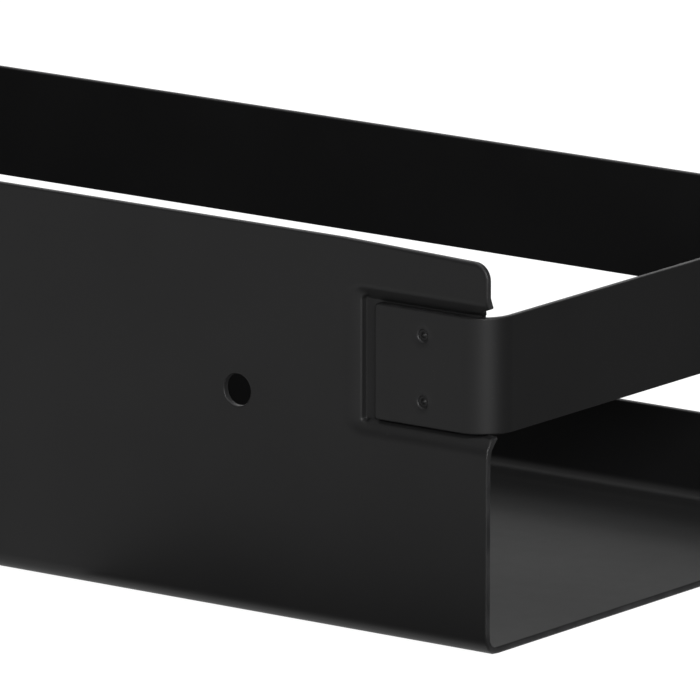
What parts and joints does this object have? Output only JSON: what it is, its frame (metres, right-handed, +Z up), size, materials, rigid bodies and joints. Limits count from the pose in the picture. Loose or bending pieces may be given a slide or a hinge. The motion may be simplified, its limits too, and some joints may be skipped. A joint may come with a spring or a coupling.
{
  "type": "cable tray",
  "caption": "Open folded sheet-steel cable tray with a tall mounting wall, a low back lip and a flat retaining band riveted round its open ends and back.",
  "frame": {"origin": "middle of the tray's length and depth, on the underside of the floor", "axes": "+X along the tray, -Y out of the tall mounting wall, +Z up out of the open top"},
  "size_m": [0.6006, 0.15, 0.086],
  "materials": {
    "tray_coat": "matte black powder coat",
    "band_coat": "matte black powder coat",
    "rivet_coat": "matte black powder coat over steel"
  },
  "bodies": {
    "root": {"tray_shell": "tray_coat", "retaining_band": "band_coat", "rivet_right_upper": "rivet_coat", "rivet_right_lower": "rivet_coat", "rivet_left_upper": "rivet_coat", "rivet_left_lower": "rivet_coat"}
  },
  "joints": []
}
